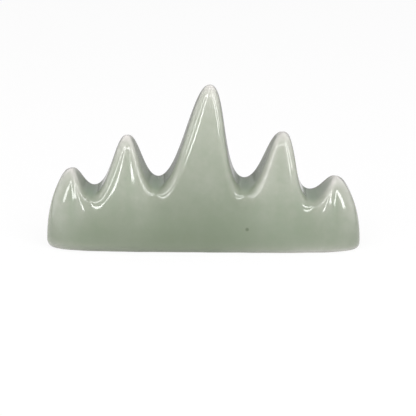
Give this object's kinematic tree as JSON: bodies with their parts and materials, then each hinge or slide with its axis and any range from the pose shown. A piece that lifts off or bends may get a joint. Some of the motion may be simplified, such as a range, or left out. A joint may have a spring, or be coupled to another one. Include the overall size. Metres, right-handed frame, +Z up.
{
  "type": "brush rest",
  "caption": "Mountain-shaped brush rest in celadon-glazed porcelain, a row of rounded peaks with smooth saddles that hold brush handles clear of the table.",
  "frame": {"origin": "on the table, under the middle of the rest's length and depth", "axes": "+X along the row of peaks, to the right as seen from the front; +Y from front to back; +Z up"},
  "size_m": [0.12, 0.031, 0.0617],
  "materials": {
    "porcelain": "unglazed, fine matt",
    "slab": "unglazed, fine matt, wiped flat",
    "glaze": "glossy pale grey-green celadon, paler on the tips and greener in the saddles"
  },
  "bodies": {
    "root": {"porcelain_body": "porcelain", "base_slab": "slab", "celadon_glaze": "glaze"}
  },
  "joints": []
}
